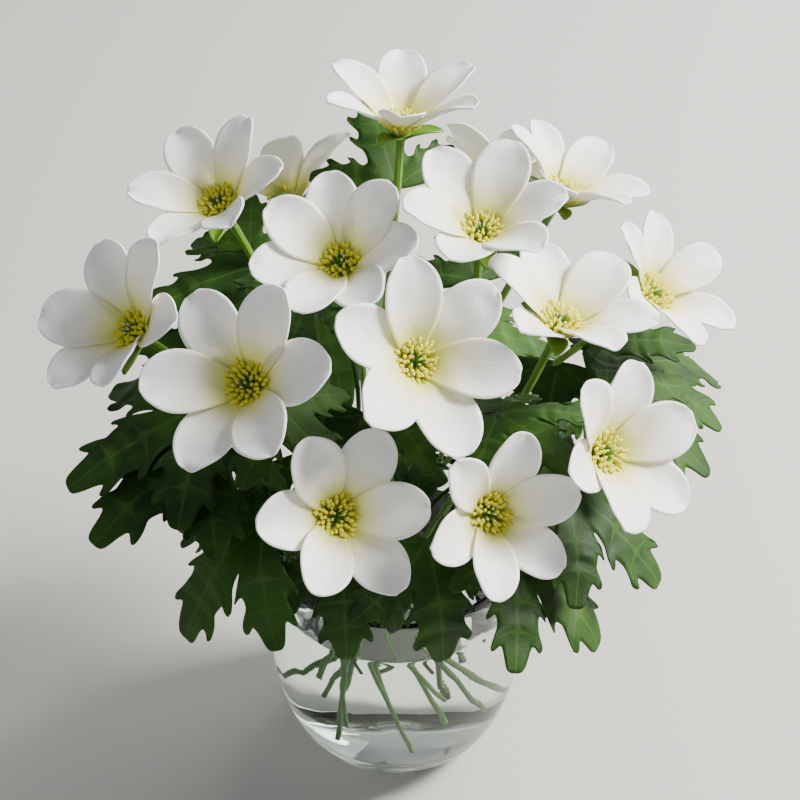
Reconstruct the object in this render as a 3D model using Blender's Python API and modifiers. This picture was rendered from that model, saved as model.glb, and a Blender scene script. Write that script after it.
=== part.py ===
"""A posy of white hepatica standing in a small round glass tumbler of water.

Blender 4.5, in metres, +Z up. The origin is the centre of the tumbler's flat foot, on the surface that it
stands on. The front of the posy faces -Y. Each piece of the real thing is one object: the glass, the water,
and for each flower its petals, its centre and its stem with three bracts, and each leaf with its stalk.
"""

import math
import random

import bmesh
import bpy
from mathutils import Matrix, Vector

MM = 0.001
GAP = 0.3 * MM

# The tumbler: a turned glass with a thick foot, widest at about half its height.
GLASS_OUTSIDE = ((16.0, 0.0), (18.6, 1.4), (21.6, 4.6), (24.0, 9.0), (26.0, 15.5), (27.3, 24.0), (27.6, 34.0),
                 (27.0, 46.0), (26.2, 57.4), (25.6, 58.0))
GLASS_INSIDE = ((24.9, 57.4), (25.4, 46.0), (25.9, 34.0), (25.5, 24.0), (24.1, 15.5), (21.6, 10.0),
                (17.0, 7.2), (9.0, 6.2), (0.0, 6.0))
GLASS_SIDES = 24
WATER_RINGS = (47.0, 34.0, 24.0, 15.5, 10.3, 7.9)
WATER_BOTTOM = 6.8
WATER_SIDES = 16

# Each flower: its place in mm, the bearing that it faces and how far it leans from upright, its number of
# petals, the angle of the first about its own axis, their length in mm and how steeply they rise, in degrees.
BLOOMS = {
    "front": ((3, -20, 122), (302, 43), 6, 23, 18.9, 29),
    "left_front": ((-26, -23, 119), (238, 39), 6, 25, 18.2, 24),
    "low_left": ((-11, -39, 102), (296, 45), 6, 47, 16.6, 29),
    "low_right": ((16, -39, 103), (300, 56), 6, 60, 15.8, 31),
    "right_front": ((37, -28, 107), (321, 50), 6, 46, 16.6, 30),
    "right_crown": ((30, -8, 120), (8, 16), 6, 15, 17.0, 26),
    "right": ((49, 12, 111), (344, 39), 6, 34, 15.8, 26),
    "crown": ((16, 7, 130), (276, 10), 6, 2, 16.8, 31),
    "left_crown": ((-10, 4, 125), (244, 25), 7, 15, 16.8, 32),
    "top": ((1, 43, 129), (75, 10), 6, 44, 17.6, 31),
    "left_back": ((-34, 25, 123), (210, 24), 6, 53, 17.4, 30),
    "left": ((-49, 0, 112), (206, 40), 6, 39, 17.6, 27),
    "right_back": ((32, 28, 123), (20, 26), 6, 12, 16.0, 30),
    "back_left": ((-22, 48, 108), (115, 50), 6, 20, 16.8, 29),
    "back_right": ((22, 52, 107), (70, 52), 6, 50, 16.8, 29),
}
PETAL_ROWS = (0.0, 0.26, 0.56, 0.85, 1.0)
PETAL_HALF_WIDTH = 0.30
PETAL_WIDEST = 0.6
PETAL_FOOT = 0.22
PETAL_TIP_WIDTH = 0.26
PETAL_SWELL = (1.6, 2.4)
PETAL_ROOM = 0.9
PETAL_CURL = math.radians(15)
PETAL_HOLLOW = 0.24
PETAL_THICK = 0.62 * MM
WHORL_RISE = math.radians(5)
PETAL_TURNS = (-2, 2)
PETAL_SIZES = (0.96, 1.04)
PETAL_RISES = (-2, 2)
PETAL_WIDTHS = (0.96, 1.06)
HUB_RADIUS = 1.8 * MM

STAMENS = 7
STAMEN_LENGTH = 4.6 * MM
STAMEN_RADII = (0.5 * MM, 0.4 * MM)
STAMEN_RISE = math.radians(50)
STAMEN_FROM = (0.22 * MM, 0.83 * MM)
PISTIL_HEIGHT = 3.4 * MM
PISTIL_RADII = (1.1 * MM, 0.28 * MM)

STEM_RADIUS = 0.9 * MM
BRACTS = 3
BRACT_ROWS = (0.0, 0.5, 1.0)
BRACT_LENGTH = 8.0 * MM
BRACT_HALF_WIDTH = 0.27
BRACT_RISE = math.radians(14)
BRACT_HUB_RADIUS = 1.0 * MM
BRACT_SPIN = 30
BRACTS_BELOW = 1.6 * MM

# Three rings of stems, one round another: the bearing of a ring's first stem, the radius at which they pass
# through the glass's mouth, the radius that they have near its floor, and the turn between the two, in
# degrees. All of them turn the same way, as in a hand-tied posy, so none of them meet. The stems are cut
# unevenly: in turn they go these shares of the way from the mouth to the floor.
MOUTH_HEIGHT = 50.0 * MM
FLOOR_HEIGHT = 9.0 * MM
INNER_RING = {"first": -46, "mouth": 4.0 * MM, "floor": 11.5 * MM, "turn": 110, "shares": (1.0, 0.72, 0.88)}
OUTER_RING = {"first": -98, "mouth": 8.0 * MM, "floor": 16.0 * MM, "turn": 110, "shares": (0.95, 0.7, 0.84)}
LEAF_RING = {"first": 178, "mouth": 12.4 * MM, "floor": 19.4 * MM, "turn": 70, "shares": (0.3, 0.42)}
INNER_BLOOMS = ("front", "right_crown", "crown", "left_crown", "top", "left_back", "right_back")
STEM_STEPS_ABOVE = 5
STEM_PULLS = (0.38, 0.34)

# Each leaf: where its blade starts in mm, the bearing that it grows towards, the blade's length in mm, and
# its slope at the stalk and at the tip in degrees.
LEAVES = {
    "left_high": ((-35, -10, 104), 203, 32, (-14, -29)),
    "left_mid": ((-35, -14, 96), 221, 30, (3, -35)),
    "left_low": ((-25, -28, 90), 212, 30, (-27, -76)),
    "front_left": ((-10, -33, 88), 274, 23, (-50, -76)),
    "front_right": ((6, -35, 91), 286, 25, (-34, -94)),
    "right_low": ((21, -33, 89), 338, 29, (-32, -64)),
    "right_mid": ((32, -23, 94), 338, 28, (-30, -57)),
    "right_high": ((40, -7, 103), 335, 26, (-7, -52)),
    "right_back": ((47, 13, 93), 29, 27, (-11, -50)),
    "back": ((11, 34, 84), 61, 32, (-6, -46)),
    "back_left": ((-23, 29, 87), 154, 32, (-9, -59)),
    "inner_right": ((19, -18, 108), 306, 22, (22, -20)),
    "inner_left": ((-16, 9, 114), 201, 22, (7, -22)),
}
LEAF_THICK = 0.62 * MM
LEAF_STALK_RADIUS = 0.85 * MM
STALK_OVERLAP = 1.5 * MM
STALK_SINK = 0.25 * MM
LEAF_SIDE_DROOP = 12.0
FIVE_LOBES = {"angles": (-108, -52, 0, 52, 108), "shares": (0.56, 0.86, 1.0, 0.86, 0.56), "teeth": (1, 2, 2, 2, 1)}
THREE_LOBES = {"angles": (-64, 0, 64), "shares": (0.8, 1.0, 0.8), "teeth": (1, 2, 1)}
LOBE_BACK_ANGLE = math.radians(34)
BACK_SHARE = 0.14
SINUS_SHARE = 0.24
LOBE_HALF_WIDTH = 0.25
LOBE_TAPER = 0.3
TEETH_FROM = 0.40
TEETH_OVER = 0.46
TOOTH_FORWARD = 0.12
NOTCH_AFTER = 0.15
NOTCH_FORWARD = 0.02
NOTCH_DEPTH = 0.42

# Small three-lobed leaves on the flower stems, between the flowers: the flower, how far below it the leaf sits
# in mm, and then the bearing, the length and the slopes as above.
SMALL_LEAVES = (
    ("left_back", 15, 198, 27, (-4, -36)),
    ("left_crown", 37, 234, 27, (-42, -82)),
    ("right", 24, 252, 23, (-42, -82)),
    ("top", 12, 108, 23, (34, 6)),
    ("crown", 12, 108, 19, (34, 6)),
    ("back_left", 18, 288, 27, (-22, -58)),
    ("left", 18, 72, 27, (34, 6)),
    ("front", 37, 306, 19, (34, 6)),
)
SMALL_LEAF_OUT = 0.4

SEED = 7

COLOURS = {
    "glass": ((0.90, 0.95, 0.93, 1.0), 0.05),
    "water": ((0.85, 0.93, 0.95, 1.0), 0.02),
    "petal": ((0.93, 0.93, 0.89, 1.0), 0.5),
    "stamen": ((0.74, 0.70, 0.18, 1.0), 0.6),
    "stem": ((0.20, 0.36, 0.07, 1.0), 0.5),
    "leaf": ((0.07, 0.20, 0.04, 1.0), 0.45),
}


# Scene, materials and the small helpers that every piece uses.
for old in list(bpy.data.objects):
    bpy.data.objects.remove(old, do_unlink=True)
posy = bpy.data.collections.new("hepatica_posy")
cutters = bpy.data.collections.new("cutters")
repeats = bpy.data.collections.new("repeats")
for made in (posy, cutters, repeats):
    bpy.context.scene.collection.children.link(made)


def material(name):
    made = bpy.data.materials.get(name)
    if made is None:
        made = bpy.data.materials.new(name)
        made.use_nodes = True
        colour, roughness = COLOURS[name]
        shader = made.node_tree.nodes["Principled BSDF"]
        shader.inputs["Base Color"].default_value = colour
        shader.inputs["Roughness"].default_value = roughness
        shader.inputs["Metallic"].default_value = 0.0
        made.diffuse_color = colour
    return made


def add_mesh_object(name, mesh, colour, collection):
    obj = bpy.data.objects.new(name, mesh)
    obj.data.materials.clear()
    obj.data.materials.append(material(colour))
    collection.objects.link(obj)
    return obj


def from_bmesh(name, bm, colour, collection):
    mesh = bpy.data.meshes.new(name)
    bm.to_mesh(mesh)
    bm.free()
    return add_mesh_object(name, mesh, colour, collection)


def applied(obj, colour, collection, weld=0.0):
    """Replaces obj by a mesh object that holds its shape with its modifiers applied."""
    bpy.context.view_layer.update()
    graph = bpy.context.evaluated_depsgraph_get()
    mesh = bpy.data.meshes.new_from_object(obj.evaluated_get(graph))
    if weld:
        bm = bmesh.new()
        bm.from_mesh(mesh)
        bmesh.ops.remove_doubles(bm, verts=bm.verts, dist=weld)
        bm.to_mesh(mesh)
        bm.free()
    name, place = obj.name, obj.matrix_world.copy()
    bpy.data.objects.remove(obj, do_unlink=True)
    made = add_mesh_object(name, mesh, colour, collection)
    made.matrix_world = place
    return made


def fused(name, base, others, colour):
    """base with the others joined to it by one Boolean union, as one object of the posy."""
    for obj in others:
        repeats.objects.link(obj)
        posy.objects.unlink(obj)
    union = base.modifiers.new("join", "BOOLEAN")
    union.operation = "UNION"
    union.operand_type = "COLLECTION"
    union.collection = repeats
    union.solver = "EXACT"
    base.name = name
    made = applied(base, colour, posy)
    for obj in others:
        bpy.data.objects.remove(obj, do_unlink=True)
    made.name = name
    return made


def thickened(name, bm, thick, colour):
    """A closed blade from an open surface, split into triangles alike on both of its faces."""
    bmesh.ops.triangulate(bm, faces=bm.faces, quad_method="FIXED")
    obj = from_bmesh(name, bm, colour, posy)
    wall = obj.modifiers.new("thickness", "SOLIDIFY")
    wall.thickness = thick
    wall.offset = 0.0
    return applied(obj, colour, posy)


def tube(name, points, radius, sides_step, colour, collection):
    """A round stalk along the points, as a closed mesh."""
    curve = bpy.data.curves.new(name, "CURVE")
    curve.dimensions = "3D"
    curve.bevel_depth = radius
    curve.bevel_resolution = sides_step
    curve.use_fill_caps = True
    spline = curve.splines.new("POLY")
    spline.points.add(len(points) - 1)
    for slot, point in zip(spline.points, points):
        slot.co = (*point, 1.0)
    obj = bpy.data.objects.new(name, curve)
    collection.objects.link(obj)
    made = applied(obj, colour, collection, weld=0.01 * MM)
    made.data.shade_smooth()
    made.data.set_sharp_from_angle(angle=math.radians(40))
    return made


def bearing_vector(bearing):
    return Vector((math.cos(math.radians(bearing)), math.sin(math.radians(bearing)), 0.0))


# The glass and the water.
def turned(name, profile, sides, colour):
    """A closed solid turned about Z from a profile that runs down its outer side."""
    bm = bmesh.new()
    points = [bm.verts.new((radius * MM, 0.0, height * MM)) for radius, height in profile]
    for first, second in zip(points, points[1:]):
        bm.edges.new((first, second))
    obj = from_bmesh(name, bm, colour, posy)
    turn = obj.modifiers.new("turn", "SCREW")
    turn.axis = "Z"
    turn.angle = math.tau
    turn.steps = sides
    turn.render_steps = sides
    turn.use_merge_vertices = True
    turn.merge_threshold = 0.00002
    return applied(obj, colour, posy)


def make_glass():
    outside_down = tuple(reversed(GLASS_OUTSIDE)) + ((0.0, 0.0),)
    inside_up = tuple(reversed(GLASS_INSIDE))
    glass = turned("glass_tumbler", inside_up + outside_down, GLASS_SIDES, "glass")
    glass.data.shade_smooth()
    glass.data.set_sharp_from_angle(angle=math.radians(35))
    return glass


def inside_radius(height):
    """The glass's inner radius at a height, both in mm."""
    rising = tuple(reversed(GLASS_INSIDE))
    for (low_r, low_z), (high_r, high_z) in zip(rising, rising[1:]):
        if low_z <= height <= high_z:
            return low_r + (high_r - low_r) * (height - low_z) / (high_z - low_z)
    return rising[-1][0]


def make_water(stems):
    """The water, GAP clear of the glass, with a plain hole for each stem that stands in it."""
    flats = math.cos(math.pi / GLASS_SIDES)
    side = [(inside_radius(height) * flats - GAP / MM, height) for height in WATER_RINGS]
    profile = [(0.0, WATER_RINGS[0]), *side, (0.0, WATER_BOTTOM)]
    water = turned("water", profile, WATER_SIDES, "water")
    for points in stems:
        cutter = tube("stem_hole", points, STEM_RADIUS + GAP, 1, "water", cutters)
        cutter.hide_render = True
        cutter.display_type = "WIRE"
    holes = water.modifiers.new("stem_holes", "BOOLEAN")
    holes.operation = "DIFFERENCE"
    holes.operand_type = "COLLECTION"
    holes.collection = cutters
    holes.solver = "EXACT"
    made = applied(water, "water", posy)
    for cutter in list(cutters.objects):
        bpy.data.objects.remove(cutter, do_unlink=True)
    made.name = "water"
    return made


# The flowers.
def blade_half_width(t):
    """Half the width at t along a blade, as a share of the greatest: an oval with a narrow foot."""
    if t < PETAL_WIDEST:
        return 1 - (1 - PETAL_FOOT) * (1 - t / PETAL_WIDEST) ** PETAL_SWELL[0]
    beyond = (t - PETAL_WIDEST) / (1 - PETAL_WIDEST)
    return math.sqrt(1 - (1 - PETAL_TIP_WIDTH ** 2) * beyond ** PETAL_SWELL[1])


def blade_point(t, across, length, rise, half_width, hub_radius, sector):
    """A point of one blade that grows along +X from the hub's rim: it rises steeply at first, then flattens.

    Near the hub the blade keeps within its sector of the whorl, with its raised edges too, so that neighbours
    meet at its corners only.
    """
    start = rise + PETAL_CURL
    here = rise + PETAL_CURL * (1 - 2 * t)
    reach = hub_radius + length * (math.sin(start) - math.sin(here)) / (2 * PETAL_CURL)
    height = length * (math.cos(here) - math.cos(start)) / (2 * PETAL_CURL)
    room = reach * math.tan(sector)
    share = PETAL_ROOM / (1 + PETAL_ROOM * math.tan(sector) * math.sin(here) * PETAL_HOLLOW)
    half = room if t == 0 else min(half_width * length * blade_half_width(t), share * room)
    lift = PETAL_HOLLOW * half * across * across if t else 0.0
    return Vector((reach - math.sin(here) * lift, across * half, height + math.cos(here) * lift))


def whorl(blades, rows, hub_radius, sector):
    """One open sheet of blades round a flat hub. Each blade is (angle, turn, length, rise, half width)."""
    bm = bmesh.new()
    for angle, turn, length, rise, half_width in blades:
        grid = bmesh.ops.create_grid(bm, x_segments=2, y_segments=len(rows) - 1, size=0.5)
        for vert in grid["verts"]:
            t = rows[round((vert.co.y + 0.5) * (len(rows) - 1))]
            point = blade_point(t, 2 * vert.co.x, length, rise, half_width, hub_radius, sector)
            vert.co = Matrix.Rotation(angle + turn * t, 3, "Z") @ point
    bmesh.ops.remove_doubles(bm, verts=bm.verts, dist=0.01 * MM)
    level = [edge for edge in bm.edges if all(abs(vert.co.z) < 0.001 * MM for vert in edge.verts)]
    bmesh.ops.edgeloop_fill(bm, edges=[edge for edge in level if edge.is_boundary])
    bmesh.ops.recalc_face_normals(bm, faces=bm.faces)
    return bm


def bloom_matrix(place, facing):
    bearing, lean = facing[0], math.radians(facing[1])
    axis = bearing_vector(bearing) * math.sin(lean) + Vector((0, 0, math.cos(lean)))
    side = Vector((0, 0, 1)).cross(axis).normalized()
    up = axis.cross(side)
    turned_to = Matrix((side, up, axis)).transposed().to_4x4()
    return Matrix.Translation(Vector(place) * MM) @ turned_to


def make_petals(name, place, petals, spin, length, rise, draw):
    """The petals, in one sheet with the hub. Every second one stands steeper, as an inner whorl."""
    blades = []
    for k in range(petals):
        angle = math.radians(spin + 360 / petals * k)
        turn = math.radians(draw.uniform(*PETAL_TURNS))
        size = length * MM * draw.uniform(*PETAL_SIZES)
        slope = math.radians(rise + draw.uniform(*PETAL_RISES)) + k % 2 * WHORL_RISE
        blades.append((angle, turn, size, slope, PETAL_HALF_WIDTH * draw.uniform(*PETAL_WIDTHS)))
    sheet = whorl(blades, PETAL_ROWS, HUB_RADIUS, math.pi / petals)
    made = thickened(f"bloom_{name}_petals", sheet, PETAL_THICK, "petal")
    made.matrix_world = place
    return made


def cone(name, radii, length, sides, where):
    """A blunt cone that grows along Z from the origin, then is moved by where."""
    bm = bmesh.new()
    bmesh.ops.create_cone(bm, cap_ends=True, segments=sides, radius1=radii[0], radius2=radii[1],
                          depth=length, matrix=where @ Matrix.Translation((0, 0, length / 2)))
    return from_bmesh(name, bm, "stamen", posy)


def make_centre(name, place, spin):
    """The boss of short stamens round the green pistil, seated on the hub."""
    base = PETAL_THICK / 2 + GAP
    core = cone("core", PISTIL_RADII, PISTIL_HEIGHT, 6, Matrix.Translation((0, 0, base)))
    out = Matrix.Translation((STAMEN_FROM[0], 0, base + STAMEN_FROM[1]))
    out = out @ Matrix.Rotation(math.pi / 2 - STAMEN_RISE, 4, "Y")
    spikes = []
    for k in range(STAMENS):
        about = Matrix.Rotation(math.radians(spin + 360 / STAMENS * k), 4, "Z")
        spikes.append(cone("spike", STAMEN_RADII, STAMEN_LENGTH, 3, about @ out))
    made = fused(f"bloom_{name}_centre", core, spikes, "stamen")
    made.matrix_world = place
    return made


def bezier(p0, p1, p2, p3, steps):
    points = []
    for k in range(steps + 1):
        t = k / steps
        u = 1 - t
        points.append(p0 * u ** 3 + p1 * 3 * u * u * t + p2 * 3 * u * t * t + p3 * t ** 3)
    return points


def stem_route(top, down, ring, slot):
    """From the top, out along down, through the mouth of the glass and straight on towards its floor."""
    bearing, share = slot
    mouth = bearing_vector(bearing) * ring["mouth"] + Vector((0, 0, MOUTH_HEIGHT))
    floor = bearing_vector(bearing + ring["turn"]) * ring["floor"] + Vector((0, 0, FLOOR_HEIGHT))
    reach = (top - mouth).length
    upward = (mouth - floor).normalized()
    top_pull, mouth_pull = (share * reach for share in STEM_PULLS)
    above = bezier(top, top + down * top_pull, mouth + upward * mouth_pull, mouth, STEM_STEPS_ABOVE)
    return above + [mouth.lerp(floor, share)]


def dealt_slots(places, ring):
    """A slot in the ring for each name: its bearing, evenly spaced, and the share of the way that it goes down.

    The names take their slots in the order of the bearings that they lie at.
    """
    order = sorted(places, key=lambda name: math.atan2(places[name][1], places[name][0]))
    shares = ring["shares"]
    return {name: (ring["first"] + 360 / len(order) * k, shares[k % len(shares)]) for k, name in enumerate(order)}


def point_along(route, distance):
    """The point that lies at a distance down the route."""
    for before, after in zip(route, route[1:]):
        step = (after - before).length
        if distance <= step:
            return before.lerp(after, distance / step)
        distance -= step
    return route[-1]


def make_small_leaves(name, route):
    """The small leaves that grow from this flower's stem."""
    leaves = []
    for stem, below, bearing, length, slopes in SMALL_LEAVES:
        if stem == name:
            foot = point_along(route, below * MM) / MM + bearing_vector(bearing) * SMALL_LEAF_OUT
            sheet = leaf_sheet(foot, bearing, length, slopes, THREE_LOBES)
            leaves.append(thickened("small_leaf", sheet, LEAF_THICK, "leaf"))
    return leaves


def make_stem(name, place, spin, route):
    """The round stem with its small leaves and a collar of three green bracts just below the petals."""
    stalk = tube("stalk", route, STEM_RADIUS, 1, "stem", posy)
    angles = [math.radians(spin + BRACT_SPIN + 360 / BRACTS * k) for k in range(BRACTS)]
    blades = [(angle, 0.0, BRACT_LENGTH, BRACT_RISE, BRACT_HALF_WIDTH) for angle in angles]
    collar = whorl(blades, BRACT_ROWS, BRACT_HUB_RADIUS, math.pi / BRACTS)
    collar.transform(place @ Matrix.Translation((0, 0, -BRACTS_BELOW)))
    bracts = thickened("bracts", collar, PETAL_THICK, "stem")
    return fused(f"bloom_{name}_stem", stalk, [bracts, *make_small_leaves(name, route)], "stem")


# The leaves.
def flat_point(angle, share):
    return Vector((math.cos(angle), math.sin(angle))) * share


def lobe_rows(angle, length, teeth):
    """The rows across one lobe of the flat leaf, each (left, rib, right): the teeth, each with its notch."""
    side = Vector((-math.sin(angle), math.cos(angle)))
    rows = []
    for k in range(teeth):
        start = TEETH_FROM + TEETH_OVER * k / teeth
        width = LOBE_HALF_WIDTH * (1 - LOBE_TAPER * k / teeth)
        tooth = (start, TOOTH_FORWARD, width)
        notch = (start + NOTCH_AFTER, NOTCH_FORWARD, NOTCH_DEPTH * width)
        for t, forward, half in (tooth, notch):
            rib = flat_point(angle, length * t)
            edge = flat_point(angle, length * (t + forward))
            rows.append((edge + side * half * length, rib, edge - side * half * length))
    return rows


def leaf_sheet(start, bearing, length, slopes, lobes):
    """The open sheet of one blade: toothed lobes round the top of the stalk, arched down over its length."""
    first_slope, last_slope = (math.radians(slope) for slope in slopes)
    outward = bearing_vector(bearing)
    sideways = Vector((-outward.y, outward.x, 0))
    bend = last_slope - first_slope

    def arched(flat):
        slope = first_slope + bend * max(flat.x, 0.0)
        if flat.x > 0:
            reach = (math.sin(slope) - math.sin(first_slope)) / bend
            rise = (math.cos(first_slope) - math.cos(slope)) / bend
        else:
            reach = flat.x * math.cos(first_slope)
            rise = flat.x * math.sin(first_slope)
        normal = outward * -math.sin(slope) + Vector((0, 0, math.cos(slope)))
        middle = Vector(start) + (outward * reach + Vector((0, 0, rise)) + sideways * flat.y) * length
        return (middle - normal * LEAF_SIDE_DROOP * flat.y ** 2) * MM

    bm = bmesh.new()
    root = bm.verts.new(arched(Vector((0.0, 0.0))))
    angles = [math.radians(a) for a in lobes["angles"]]
    between = [(a + b) / 2 for a, b in zip(angles, angles[1:])]
    ends = [angles[0] - LOBE_BACK_ANGLE] + between + [angles[-1] + LOBE_BACK_ANGLE]
    shares = [BACK_SHARE] + [SINUS_SHARE] * len(between) + [BACK_SHARE]
    sinuses = [bm.verts.new(arched(flat_point(a, share))) for a, share in zip(ends, shares)]
    for k, (angle, share, teeth) in enumerate(zip(angles, lobes["shares"], lobes["teeth"])):
        rib = bm.verts.new(arched(flat_point(angle, SINUS_SHARE * share)))
        right, left = sinuses[k], sinuses[k + 1]
        bm.faces.new((root, right, rib))
        bm.faces.new((root, rib, left))
        for flat_left, flat_rib, flat_right in lobe_rows(angle, share, teeth):
            row = [bm.verts.new(arched(flat)) for flat in (flat_left, flat_rib, flat_right)]
            bm.faces.new((left, rib, row[1], row[0]))
            bm.faces.new((rib, right, row[2], row[1]))
            left, rib, right = row
        tip = bm.verts.new(arched(flat_point(angle, share)))
        bm.faces.new((left, rib, tip))
        bm.faces.new((rib, right, tip))
    bmesh.ops.recalc_face_normals(bm, faces=bm.faces)
    return bm


def leaf_route(start, bearing, slopes, slot):
    """The stalk's way from just inside the blade down into the glass."""
    slope = math.radians(slopes[0])
    inward = bearing_vector(bearing) * -math.cos(slope) - Vector((0, 0, math.sin(slope)))
    top = Vector(start) * MM - inward * STALK_OVERLAP - Vector((0, 0, STALK_SINK))
    return stem_route(top, (inward - Vector((0, 0, 1))).normalized(), LEAF_RING, slot)


def make_leaf(name, start, bearing, length, slopes, slot):
    """A lobed, toothed leaf: one arched blade, cut between its lobes, on a round stalk."""
    blade = thickened("blade", leaf_sheet(start, bearing, length, slopes, FIVE_LOBES), LEAF_THICK, "leaf")
    route = leaf_route(start, bearing, slopes, slot)
    stalk = tube("stalk", route, LEAF_STALK_RADIUS, 0, "leaf", posy)
    fused(f"leaf_{name}", blade, [stalk], "leaf")
    return route


def make_posy():
    make_glass()
    draw = random.Random(SEED)
    routes = []
    outer = [name for name in BLOOMS if name not in INNER_BLOOMS]
    for ring, names in ((INNER_RING, INNER_BLOOMS), (OUTER_RING, outer)):
        slots = dealt_slots({name: BLOOMS[name][0] for name in names}, ring)
        for name in names:
            where, facing, petals, spin, length, rise = BLOOMS[name]
            place = bloom_matrix(where, facing)
            axis = place.to_3x3() @ Vector((0, 0, 1))
            top = place @ Vector((0, 0, -PETAL_THICK / 2 - GAP))
            route = stem_route(top, -axis, ring, slots[name])
            routes.append(route)
            make_petals(name, place, petals, spin, length, rise, draw)
            make_centre(name, place, spin)
            make_stem(name, place, spin, route)
    slots = dealt_slots({name: LEAVES[name][0] for name in LEAVES}, LEAF_RING)
    for name, (start, bearing, length, slopes) in LEAVES.items():
        routes.append(make_leaf(name, start, bearing, length, slopes, slots[name]))
    make_water([[*route[:-1], route[-1] + (route[-1] - route[-2]).normalized() * GAP] for route in routes])
    for helper in (repeats, cutters):
        bpy.data.collections.remove(helper)


make_posy()
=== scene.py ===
# %% [markdown]
# # A posy of white spring flowers in a small glass
#
# Fifteen white flowers and their divided leaves stand in a round tumbler of water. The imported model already
# holds every piece at its real size. This lesson puts a finer piece in the place of each one: petals with a
# round edge and a hollow, a boss of separate stamens, toothed leaves with sunken veins, and clear glass.
#
# The scene is in metres, with its origin at the centre of the tumbler's foot. Small sizes are given in mm.

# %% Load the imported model
import math
import random

import bmesh
import bpy
from mathutils import Matrix, Vector


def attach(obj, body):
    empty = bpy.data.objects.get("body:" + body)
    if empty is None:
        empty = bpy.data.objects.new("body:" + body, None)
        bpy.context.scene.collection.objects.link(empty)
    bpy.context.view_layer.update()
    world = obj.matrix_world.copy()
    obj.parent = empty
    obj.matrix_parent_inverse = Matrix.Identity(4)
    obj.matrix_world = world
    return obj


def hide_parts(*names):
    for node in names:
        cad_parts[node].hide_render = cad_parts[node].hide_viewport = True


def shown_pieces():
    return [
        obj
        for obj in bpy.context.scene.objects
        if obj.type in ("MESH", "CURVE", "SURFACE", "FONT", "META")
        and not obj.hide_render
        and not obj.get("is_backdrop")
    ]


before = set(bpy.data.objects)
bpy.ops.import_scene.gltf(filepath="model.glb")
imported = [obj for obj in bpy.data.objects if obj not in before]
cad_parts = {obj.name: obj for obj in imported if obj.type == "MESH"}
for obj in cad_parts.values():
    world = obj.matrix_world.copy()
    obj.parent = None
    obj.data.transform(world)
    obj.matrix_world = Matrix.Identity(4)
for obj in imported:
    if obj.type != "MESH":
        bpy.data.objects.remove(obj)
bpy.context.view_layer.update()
MM = 0.001
UP = Vector((0.0, 0.0, 1.0))
print("packed nodes:", len(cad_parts))

# %% [markdown]
# ## The camera
#
# The photograph looks down on the posy from the front. A long lens from 40 cm away gives its gentle
# perspective: the flowers at the back are only a little smaller than those in front.

# %% Camera
TARGET = Vector((0.8, 0.0, 95.0)) * MM
VIEW_DOWN = math.radians(42)
VIEW_DISTANCE = 400 * MM
LENS = 91.8
SENSOR_WIDTH = 36.0
NEAREST_SEEN = 0.01
back_off = Vector((0.0, -math.cos(VIEW_DOWN), math.sin(VIEW_DOWN))) * VIEW_DISTANCE
bpy.ops.object.camera_add(location=TARGET + back_off, rotation=(math.pi / 2 - VIEW_DOWN, 0.0, 0.0))
camera = bpy.context.object
camera.data.lens = LENS
camera.data.sensor_width = SENSOR_WIDTH
camera.data.clip_start = NEAREST_SEEN
bpy.context.scene.camera = camera

# %% [markdown]
# ## Working by hand, in code
#
# An operator acts on whatever is selected, so each step first says what that is: one object, or in edit mode
# the points at some place. A finished piece keeps its place in its mesh, with its object at the origin, and
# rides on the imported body.


# %% Helpers for selecting, copying and finishing
def only(*objects):
    """Selects just these objects and makes the first one active."""
    bpy.ops.object.select_all(action="DESELECT")
    for obj in objects:
        obj.select_set(True)
    bpy.context.view_layer.objects.active = objects[0]


def edit(obj):
    """Enters edit mode with every point selected."""
    only(obj)
    bpy.ops.object.mode_set(mode="EDIT")
    bpy.ops.mesh.select_mode(type="VERT")
    bpy.ops.mesh.select_all(action="SELECT")


def pick(obj, test):
    """In edit mode, selects just the points whose place passes the test."""
    shape = bmesh.from_edit_mesh(obj.data)
    for point in shape.verts:
        point.select = test(point.co)
    shape.select_flush_mode()
    bmesh.update_edit_mesh(obj.data)


def leave():
    bpy.ops.object.mode_set(mode="OBJECT")


def copy_of(master, name):
    made = master.copy()
    made.data = master.data.copy()
    made.name = name
    bpy.context.scene.collection.objects.link(made)
    return made


def add_modifier(obj, kind, **settings):
    added = obj.modifiers.new(kind.lower(), kind)
    for key, value in settings.items():
        setattr(added, key, value)


def apply_modifiers(obj):
    only(obj)
    for modifier in list(obj.modifiers):
        bpy.ops.object.modifier_apply(modifier=modifier.name)


def smooth_subdivision(obj, levels):
    add_modifier(obj, "SUBSURF", levels=levels, render_levels=levels)


def shade_smooth(obj):
    only(obj)
    bpy.ops.object.shade_smooth()


def thicken(sheet, thickness):
    """Gives a sheet its thickness, half of it to each side, after its other modifiers."""
    add_modifier(sheet, "SOLIDIFY", thickness=thickness, offset=0.0)
    apply_modifiers(sheet)
    shade_smooth(sheet)


def place(obj, matrix):
    """Moves the mesh itself, so that the object stays at the origin."""
    obj.data.transform(matrix)
    obj.data.update()


def rotation(degrees, axis):
    return Matrix.Rotation(math.radians(degrees), 4, axis)


def joined(name, objects):
    only(*objects)
    bpy.ops.object.join()
    made = bpy.context.object
    made.name = name
    made.data.name = name
    return made


def install(obj, material, packed_node):
    """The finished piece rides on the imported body, in place of the node that it stands for."""
    obj.data.materials.clear()
    obj.data.materials.append(material)
    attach(obj, "root")
    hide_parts(packed_node)


# %% [markdown]
# ## Shader parts that several finishes share
#
# Plant surfaces have much in common: a fine grain of cells, colour that drifts from place to place, and veins
# that run along a blade. Each is a node group with named inputs and outputs, built once here.


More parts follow.
